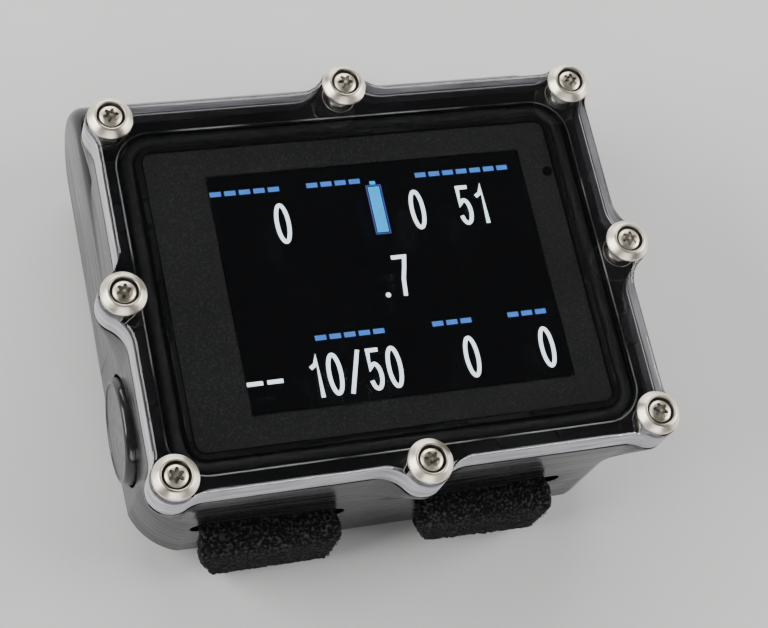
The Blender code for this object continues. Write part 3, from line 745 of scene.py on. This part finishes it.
def make_washer(number, spot):
    """Cup washer: a flat rim, a straight conical shoulder and a countersunk seat."""
    shaded_ring_radius = 2.46
    profile = [(2.42, 1.6), (2.5, 1.75), (2.82, 1.75), (3.9, 0.62), (3.9, 0.15), (1.8, 0.15), (1.8, 0.55),
               (2.3, 0.62)]
    piece = turned(soften(profile, 0.3, closed=True), (spot.x, spot.y, LID_TOP), steps=72, closed=True)
    # Seat faces close round the head get the darker steel, painted shade for the gap round the head
    for face in piece.faces:
        face.material_index = 1 if from_screw(face, spot) < shaded_ring_radius else 0
    put(f"washer_{number}_detail", piece, ["steel", "seat"],
        [f"cup_washer_{number}"], sharp=50.0)


def six_lobes(radius, depth, turn):
    """Outline of a six-lobe socket."""
    steps = 72
    points = []
    for step in range(steps):
        angle = TURN * step / steps
        reach = radius + depth * math.cos(6 * angle)
        points.append((reach * math.cos(angle + turn), reach * math.sin(angle + turn)))
    return points


def make_screw(number, spot):
    """Domed screw head with a pin-in six-lobe socket, on a threaded shank."""
    socket_radius = 1.5
    socket_floor = 1.1
    socket_top = 1.6
    shade_from_radius = 1.95
    head = [(0.0, 1.78), (0.8, 1.76), (1.45, 1.64), (1.9, 1.4), (2.05, 1.15), (2.05, 0.95), (1.5, 0.9)]
    pitch = 0.5
    shank = []
    length = LID_TOP - SCREW_TIP
    for step in range(int(length / pitch)):
        height = 0.6 - step * pitch
        shank += [(1.5, height), (1.5, height - 0.1), (1.27, height - 0.3)]
    profile = soften(head, 0.12) + shank + [(1.1, 0.2 - length), (0.0, -length)]
    solid = turned(profile, (spot.x, spot.y, LID_TOP), steps=48)
    turn = random.Random(number).uniform(0.0, TURN / 6)
    pin = arc((0.0, 0.0), 0.3, 0.0, TURN * 23 / 24, 23)
    placing = Matrix.Translation((spot.x, spot.y, LID_TOP))
    socket = plate([six_lobes(1.12, 0.30, turn), pin], 1.2, 3.0, placing)
    screw = carve(solid, [socket])
    for face in screw.faces:
        height = face.calc_center_median().z - LID_TOP
        away = from_screw(face, spot)
        # Socket floor faces get the darker socket steel, painted shade in the recess
        if away < socket_radius and socket_floor < height < socket_top:
            face.material_index = 1
        # Faces out past the head's edge get the darker steel, painted shade for the gap between head and
        # washer
        elif away > shade_from_radius:
            face.material_index = 2
    put(f"screw_{number}_detail", screw, ["steel", "socket", "seat"],
        [f"lid_screw_{number}"], sharp=40.0)


# ---- display

def oval(centre_x, centre_y, half_x, half_y, start, end, steps):
    """Part of an ellipse, angles in turns."""
    return [(centre_x + half_x * math.cos(TURN * (start + (end - start) * step / steps)),
             centre_y + half_y * math.sin(TURN * (start + (end - start) * step / steps)))
            for step in range(steps + 1)]


# Each character is a list of strokes in a unit cell, drawn for this display. Words on the panel
# are left out: a dash stands for each of their letters.
STROKES = {
    "0": [oval(0.5, 0.5, 0.5, 0.5, 0.0, 1.0, 36)],
    "1": [[(0.12, 0.74), (0.42, 0.80), (0.58, 1.0), (0.58, 0.0)]],
    "5": [[(0.9, 1.0), (0.16, 1.0), (0.10, 0.52)] + oval(0.5, 0.32, 0.46, 0.32, 0.36, -0.42, 26)],
    "7": [[(0.0, 1.0), (1.0, 1.0), (0.80, 0.72), (0.52, 0.40), (0.40, 0.0)]],
    "/": [[(0.0, 0.0), (1.0, 1.0)]],
    "-": [[(0.0, 0.5), (1.0, 0.5)]],
}
PIXEL_LOW = GLASS_TOP + 0.005
PIXEL_HIGH = PIXEL_LOW + 0.03


def add_stroke(builder, points, width):
    """A flat band of constant width along points, with mitred corners."""
    longest_mitre = 1.6
    path = [Vector(point) for point in points]
    closed = (path[0] - path[-1]).length < 0.01
    if closed:
        path = path[:-1]
    count = len(path)
    left, right = [], []
    for index, point in enumerate(path):
        before = path[index - 1] if closed or index else None
        after = path[(index + 1) % count] if closed or index < count - 1 else None
        into = (point - before).normalized() if before is not None else (after - point).normalized()
        out = (after - point).normalized() if after is not None else into
        normal = Vector((-into.y - out.y, into.x + out.x)).normalized()
        stretch = min(longest_mitre, 1.0 / max(0.3, normal.dot(Vector((-out.y, out.x)))))
        end = Vector((0.0, 0.0))
        if before is None:
            end = -out * width / 2
        if after is None:
            end = into * width / 2
        left.append(point + end + normal * width / 2 * stretch)
        right.append(point + end - normal * width / 2 * stretch)
    edges = [[builder.verts.new((spot.x, spot.y, height)) for spot in row]
             for row, height in ((left, PIXEL_LOW), (right, PIXEL_LOW), (right, PIXEL_HIGH),
                                 (left, PIXEL_HIGH))]
    last = count if closed else count - 1
    for index in range(last):
        after = (index + 1) % count
        for side in range(4):
            row, beside = edges[side], edges[(side + 1) % 4]
            builder.faces.new((row[index], row[after], beside[after], beside[index]))
    if not closed:
        builder.faces.new([row[0] for row in edges])
        builder.faces.new([row[-1] for row in edges])


def add_text(builder, text, left, base, width, height, pitch, stroke):
    """left and base are the outer edges of the first character; width and height are outer too."""
    for place, character in enumerate(text):
        for points in STROKES.get(character, []):
            fitted = [(left + place * pitch + stroke / 2 + x * (width - stroke),
                       base + stroke / 2 + y * (height - stroke)) for x, y in points]
            add_stroke(builder, fitted, stroke)


LABEL = {"width": 2.0, "height": 3.0, "pitch": 2.58, "stroke": 0.9}
DIGIT = {"width": 2.75, "height": 7.65, "pitch": 3.5, "stroke": 0.72}
LABELS = [("-----", -26.45, 17.0), ("----", -9.2, 17.1), ("-------", 10.8, 17.2),
          ("-----", -13.4, -11.1), ("---", 7.6, -11.0), ("---", 21.5, -10.9)]
DIGITS = [("0", -16.1, 8.1), ("0", 8.45, 8.3), ("51", 17.25, 8.25), ("7", 3.0, -3.75),
          ("--", -26.5, -20.2), ("1", -15.54, -20.15), ("0/50", -12.6, -20.15), ("0", 11.95, -20.0),
          ("0", 25.9, -19.9)]
DECIMAL_POINT = (1.05, -3.25, 0.45)
# Left, right, low and high edge
BATTERY_ICON = (1.35, 4.13, 8.15, 17.6)


def show(name, builder, finish):
    put(name, outward(builder), [finish])


def make_display():
    """Everything that is lit on the glass."""
    for kind, entries, sizes in (("label", LABELS, LABEL), ("digit", DIGITS, DIGIT)):
        strokes = bmesh.new()
        for text, left, base in entries:
            add_text(strokes, text, left, base, **sizes)
        show(f"display_{kind}s", strokes, f"{kind}_glow")
    x, y, radius = DECIMAL_POINT
    show("display_point", turned([(0.0, PIXEL_LOW), (radius, PIXEL_LOW), (radius, PIXEL_HIGH),
                                  (0.0, PIXEL_HIGH)], (x, y, 0.0), steps=32), "digit_glow")
    left, right, low, high = BATTERY_ICON
    centre = ((left + right) / 2, (low + high) / 2)
    half = ((right - left) / 2, (high - low) / 2)
    line = 0.16
    gap = 0.34
    border = [rounded_rectangle(*half, 0.12, 3, centre),
              rounded_rectangle(half[0] - line, half[1] - line, 0.08, 3, centre)]
    show("battery_icon_border", plate(border, PIXEL_LOW, PIXEL_HIGH), "battery_line_glow")
    fill = rounded_rectangle(half[0] - gap, half[1] - gap, 0.06, 3, centre)
    show("battery_icon_level", plate([fill], PIXEL_LOW, PIXEL_HIGH), "battery_glow")
    tip = rounded_rectangle(0.52, 0.33, 0.1, 3, (centre[0], high + 0.42))
    show("battery_icon_tip", plate([tip], PIXEL_LOW, PIXEL_HIGH), "battery_glow")


# ---- buttons, cap and sensor

def make_button(side, sign):
    """Round push button: a pale inset face, a rounded side painted darker as shade, and a stem with its
    clip groove.
    """
    face_radius = 8.25
    profile = [(0.0, 1.02), (8.2, 1.02), (8.3, 1.3), (8.75, 1.34), (9.15, 1.0), (9.38, 0.4), (9.4, -0.8),
               (9.2, -1.0), (2.2, -1.0), (2.2, -5.1), (1.5, -5.1), (1.5, -5.6), (2.2, -5.6), (2.2, -6.0),
               (2.0, -6.1), (0.0, -6.1)]
    piece = turned(soften(profile, 0.18), (sign * HALF_X, BUTTON_Y, BUTTON_Z), (sign, 0, 0), steps=128)
    for face in piece.faces:
        middle = face.calc_center_median()
        from_axis = math.hypot(middle.y - BUTTON_Y, middle.z - BUTTON_Z)
        face.material_index = 0 if from_axis < face_radius and abs(middle.x) > HALF_X else 1
    put(f"{side}_button_detail", piece, ["button", "button_side_painted_shade"],
        [f"{side}_button_cap"], body=f"{side}_button", sharp=50.0)


def make_button_spring(side, sign):
    """Return spring: a coil of wire round the button's axis, with a mesh of its own."""
    middle = middle_of(f"{side}_button_spring")
    steps = 80
    points = []
    for step in range(steps + 1):
        share = step / steps
        angle = TURN * SPRING_TURNS * share
        points.append((middle.x + sign * SPRING_HALF_LENGTH * (1.0 - 2.0 * share),
                       BUTTON_Y + SPRING_RADIUS * math.cos(angle),
                       BUTTON_Z + SPRING_RADIUS * math.sin(angle)))
    spring = put(f"{side}_button_spring_detail", tube(points, 0.18, 10, hint=(1.0, 0.0, 0.0)), ["wire"],
                 [f"{side}_button_spring"], sharp=80.0)
    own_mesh(spring)


def make_battery_cap():
    """Screw cap with a coin slot and a finely knurled flange."""
    knurls = 40
    knurl_depth = 0.012
    flange_start = HALF_X + GAP
    inner, flange_end = (corner.x for corner in node_box("battery_cap"))
    seal = flange_start - 2.4
    profile = [(0.0, flange_end), (7.5, flange_end), (8.2, flange_end - 0.5), (8.2, flange_start),
               (7.3, flange_start), (7.3, seal + 0.75), (6.2, seal + 0.75), (6.2, seal - 0.75),
               (7.3, seal - 0.75), (7.3, inner + 0.5), (6.8, inner), (0.0, inner)]
    solid = turned(soften(profile, 0.12), (0.0, TUBE_Y, TUBE_Z), (1, 0, 0), steps=160)
    slot = rounded_rectangle(6.5, 0.9, 0.85, 8)
    turn = Matrix(((0, 0, 1, 0), (1, 0, 0, TUBE_Y), (0, 1, 0, TUBE_Z), (0, 0, 0, 1)))
    cap = carve(solid, [plate([slot], flange_end - 1.2, flange_end + 2.0, turn)])
    for corner in cap.verts:
        away = Vector((corner.co.y - TUBE_Y, corner.co.z - TUBE_Z))
        if corner.co.x > flange_start + 0.1 and away.length > 8.1:
            angle = math.atan2(away.y, away.x)
            pinch = 1.0 - knurl_depth * (0.5 + 0.5 * math.cos(knurls * angle))
            corner.co.y = TUBE_Y + away.x * pinch
            corner.co.z = TUBE_Z + away.y * pinch
    put("battery_cap_detail", cap, ["acetal"], ["battery_cap"],
        body="battery_cap_turning")


def make_sensor_cover():
    """Perforated disc over the depth sensor's port."""
    radius = 5.1
    holes = 5
    hole_radius = 0.6
    holes_from_middle = 2.6
    centre = (SENSOR_MIDDLE.x, SENSOR_MIDDLE.y)
    low, high = node_box("sensor_cover")
    loops = [arc(centre, radius, 0.0, TURN * 95 / 96, 95)]
    for hole in arc(centre, holes_from_middle, 0.0, TURN, holes)[:-1]:
        loops.append(arc(hole, hole_radius, 0.0, TURN * 23 / 24, 23))
    put("sensor_cover_detail", plate(loops, low.z, high.z), ["steel"],
        ["sensor_cover"])


# ---- straps

def strap_route():
    """Closed middle line of a strap in YZ, resampled to even short steps."""
    tail_y = SLOT_TURN_Y + SLOT_TURN_RADIUS
    tail_radius = 2.5
    lower_radius = 3.25
    upper_radius = 2.2
    rough = arc((SLOT_TURN_Y, STRAP_Z - SLOT_TURN_RADIUS), SLOT_TURN_RADIUS, TURN / 4, 0.0, 30)
    rough += arc((tail_y - tail_radius, STRAP_UNDER_Z + tail_radius), tail_radius, 0.0, -TURN / 4, 10)
    rough += arc((STRAP_OUTSIDE_Y + lower_radius, STRAP_UNDER_Z + lower_radius), lower_radius,
                 -TURN / 4, -TURN / 2, 14)
    rough += arc((STRAP_OUTSIDE_Y + upper_radius, STRAP_Z - upper_radius), upper_radius,
                 TURN / 2, TURN / 4, 12)
    spots = [Vector(point) for point in rough]
    spots.append(spots[0])
    lengths = [(after - before).length for before, after in zip(spots, spots[1:])]
    count = int(sum(lengths) / 0.45)
    step = sum(lengths) / count
    route = []
    walked = 0.0
    index = 0
    for number in range(count):
        target = number * step
        while walked + lengths[index] < target:
            walked += lengths[index]
            index += 1
        share = (target - walked) / lengths[index]
        route.append(spots[index].lerp(spots[index + 1], share))
    return route


def ease(value, start, end):
    """Smooth rise from 0 at start to 1 at end."""
    share = max(0.0, min(1.0, (value - start) / (end - start)))
    return share * share * (3.0 - 2.0 * share)


def strap_pull(point):
    """How far the strap's left edge is drawn in, where it leaves the slot and runs under the back."""
    if point.x < MOUTH_Y:
        return STRAP_PULL * ease(-point.y, -13.0, 2.5)
    if point.y < UNDERSIDE_Z:
        return STRAP_PULL * (1.0 - ease(point.x, -30.0, 12.0))
    return 0.0


def strap_widening(point):
    """The strap spreads a little once it is out of its slot."""
    start = -MOUTH_Y if point.y > UNDERSIDE_Z else 0.0
    outside = ease(-point.x, start, -FULL_WIDTH_Y)
    return 1.0 + (STRAP_WIDTH_OUTSIDE / STRAP_WIDTH - 1.0) * outside


def strap_section():
    """Rounded cross-section of the strap: (across, through) with the face points close together."""
    points = rounded_rectangle(STRAP_WIDTH / 2, STRAP_THICKNESS / 2, 0.9, 5)
    dense = []
    for index, point in enumerate(points):
        start, end = Vector(point), Vector(points[(index + 1) % len(points)])
        pieces = max(1, int((end - start).length / 0.5))
        dense += [tuple(start.lerp(end, piece / pieces)) for piece in range(pieces)]
    return dense


def strap_frames(route):
    """Position, left-hand direction, pull and widening at each step of the route."""
    frames = []
    count = len(route)
    for index, point in enumerate(route):
        along = (route[(index + 2) % count] - route[index - 2]).normalized()
        frames.append((point, Vector((-along.y, along.x)), strap_pull(point), strap_widening(point)))
    return frames


def strap_point(frames, centre_x, position, across, through):
    """Place of a point given across the strap and through it; only the right strap is lifted."""
    point, away, pull, widening = frames[position % len(frames)]
    share = across / STRAP_WIDTH + 0.5
    x = centre_x + across * widening + pull * (1.0 - share)
    spot = point + away * through
    lift = 0.0
    if centre_x > 0.0:
        lift = STRAP_LIFT * (1.0 - share) * ease(-spot.x, *LIFT_OUTWARD) * ease(-spot.y, *LIFT_DOWNWARD)
    return Vector((x, spot.x, spot.y + lift))


def in_the_open(point):
    """True where the strap is outside the housing."""
    return point.y < -35.2 or point.z < 0.2


def make_strap(side):
    """A closed band, tufted outside the housing, and its standing loops."""
    centre_x = middle_of("strap_" + side).x
    route = strap_route()
    frames = strap_frames(route)
    section = strap_section()
    rings = [[strap_point(frames, centre_x, position, across, through) for across, through in section]
             for position in range(len(route))]
    band = loft(rings, closed=True)
    band.normal_update()
    for corner in band.verts:
        if in_the_open(corner.co):
            tuft = noise.fractal(corner.co * 1.3, 1.0, 2.0, 4)
            corner.co += corner.normal * (0.10 + 0.34 * tuft)
    put(f"strap_{side}_fabric", band, ["fabric"], [f"strap_{side}"], sharp=80.0)
    make_strap_fibres(side, centre_x, frames, -1.0 if outside_is_right(frames) else 1.0)


def outside_is_right(frames):
    """Whether the outer face lies against the route's left-hand direction."""
    lowest = min(frames, key=lambda entry: entry[0].y)
    return lowest[1].y > 0.0


def make_strap_fibres(side, centre_x, frames, outer):
    """Fine standing loops over the strap's open outer face and its edges."""
    draw = random.Random(side)
    builder = bmesh.new()
    made = 0
    while made < FIBRE_LOOPS:
        position = draw.randrange(len(frames))
        across = draw.uniform(-STRAP_WIDTH / 2 + 0.1, STRAP_WIDTH / 2 - 0.1)
        through = outer * STRAP_THICKNESS / 2
        away = frames[position][1] * outer
        normal = Vector((0.0, away.x, away.y))
        if draw.random() < EDGE_SHARE:
            edge = draw.choice((-1.0, 1.0))
            across = edge * STRAP_WIDTH / 2
            through = draw.uniform(-0.9, 0.9)
            normal = Vector((edge, 0.0, 0.0))
        base = strap_point(frames, centre_x, position, across, through)
        if not in_the_open(base):
            continue
        spin = Quaternion(normal, draw.uniform(0.0, TURN))
        along = spin @ normal.orthogonal().normalized()
        lean = spin @ normal.cross(normal.orthogonal()).normalized() * draw.uniform(-0.2, 0.2)
        add_loop(builder, base, along, normal, lean, draw.uniform(*LOOP_HALF_SPAN),
                 draw.uniform(*LOOP_HEIGHT))
        made += 1
    put(f"strap_{side}_loops", builder, ["fibre"], sharp=80.0)


def add_loop(builder, base, along, normal, lean, half_span, height):
    """One standing loop: a three-sided wire over a half oval."""
    steps = 4
    rings = []
    for step in range(steps + 1):
        angle = TURN / 2 * step / steps
        out = along * math.cos(angle) + normal * math.sin(angle)
        centre = base + along * half_span * math.cos(angle)
        centre += (normal * height + lean) * math.sin(angle) - normal * LOOP_ROOT
        beside = along.cross(normal)
        offsets = [(out * math.cos(turn) + beside * math.sin(turn)) * LOOP_THICKNESS
                   for turn in (0.0, TURN / 3, 2 * TURN / 3)]
        rings.append([builder.verts.new(centre + offset) for offset in offsets])
    for below, above in zip(rings, rings[1:]):
        for side in range(3):
            after = (side + 1) % 3
            builder.faces.new((below[side], above[side], above[after], below[after]))
    builder.faces.new(rings[0])
    builder.faces.new(rings[-1][::-1])


# ---- CAD nodes that stay

CAD_FINISH = {
    "bezel_mask": "mask", "display_glass": "screen", "display_frame": "sheet_metal",
    "light_sensor": "screen", "main_board": "board", "processor_chip": "chip",
    "display_connector": "contact", "battery_cell": "jacket", "battery_contact_plate": "contact",
    "battery_contact_spring": "wire", "battery_cap_o_ring": "rubber", "depth_sensor": "steel",
}
for cad_side in ("left", "right"):
    CAD_FINISH[f"{cad_side}_button_clip"] = "wire"
    CAD_FINISH[f"{cad_side}_button_o_ring"] = "rubber"
    CAD_FINISH[f"{cad_side}_button_switch"] = "contact"
for cad_number in range(1, 9):
    CAD_FINISH[f"threaded_insert_{cad_number}"] = "brass"
for cad_number in range(1, 5):
    CAD_FINISH[f"board_standoff_{cad_number}"] = "brass"


def finish_cad_nodes():
    for node, finish in CAD_FINISH.items():
        shown = frame["nodes"][node]
        shown.data.materials.clear()
        shown.data.materials.append(FINISH[finish])


# ---- stage

def make_floor(height):
    builder = bmesh.new()
    bmesh.ops.create_grid(builder, x_segments=8, y_segments=8, size=1.6)
    mesh = bpy.data.meshes.new("floor")
    builder.to_mesh(mesh)
    builder.free()
    mesh.materials.append(grained("floor_paper", (0.78, 0.775, 0.765), 0.75, (35, 35, 35), vary=0.015,
                                  bump=0.02))
    floor = add_object("floor", mesh)
    floor.location.z = height
    floor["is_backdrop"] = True


def softbox(name, place, width, height, power, color=(1.0, 1.0, 1.0)):
    """A rectangular soft light, given in metres, aimed at the object."""
    light = bpy.data.lights.new(name, "AREA")
    light.shape = "RECTANGLE"
    light.size = width
    light.size_y = height
    light.energy = power
    light.color = color
    holder = add_object(name, light)
    holder.location = place
    holder.rotation_euler = (Vector((0.0, 0.0, 0.015)) - Vector(place)).to_track_quat("-Z", "Y").to_euler()


def make_lights():
    softbox("left_softbox", (-0.75, 0.10, 0.42), 0.7, 0.5, 9.0)
    softbox("back_softbox", (0.05, 0.85, 0.40), 0.9, 0.5, 9.0)
    softbox("right_softbox", (0.80, -0.10, 0.40), 0.7, 0.5, 8.0)
    softbox("front_softbox", (-0.15, -0.95, 0.30), 0.7, 0.35, 3.2)
    world = bpy.data.worlds.new("studio")
    world.use_nodes = True
    background = world.node_tree.nodes["Background"]
    background.inputs["Color"].default_value = (0.9, 0.93, 1.0, 1.0)
    background.inputs["Strength"].default_value = 0.05
    bpy.context.scene.world = world


def make_camera():
    """The photo's view, from a camera fitted to the eight screws. Places are in metres."""
    lens = bpy.data.cameras.new("camera")
    lens.lens = 91.06
    lens.sensor_width = 36.0
    holder = add_object("camera", lens)
    place = Vector((-0.099585, -0.118112, 0.329224))
    aim = Vector((-0.00205, -0.00838, 0.0375))
    roll = Quaternion((0.0, 0.0, 1.0), math.radians(32.04))
    holder.rotation_mode = "QUATERNION"
    holder.rotation_quaternion = (aim - place).to_track_quat("-Z", "Y") @ roll
    holder.location = place
    bpy.context.scene.camera = holder


make_camera()
make_lid()
make_housing()
make_seal()
for screw_number, screw_spot in enumerate(SCREWS, 1):
    make_washer(screw_number, screw_spot)
    make_screw(screw_number, screw_spot)
make_display()
for button_side_painted_shade, button_sign in (("left", -1), ("right", 1)):
    make_button(button_side_painted_shade, button_sign)
    make_button_spring(button_side_painted_shade, button_sign)
make_battery_cap()
make_sensor_cover()
for strap_side in ("left", "right"):
    make_strap(strap_side)
finish_cad_nodes()
make_lights()
make_floor(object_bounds()[0].z)
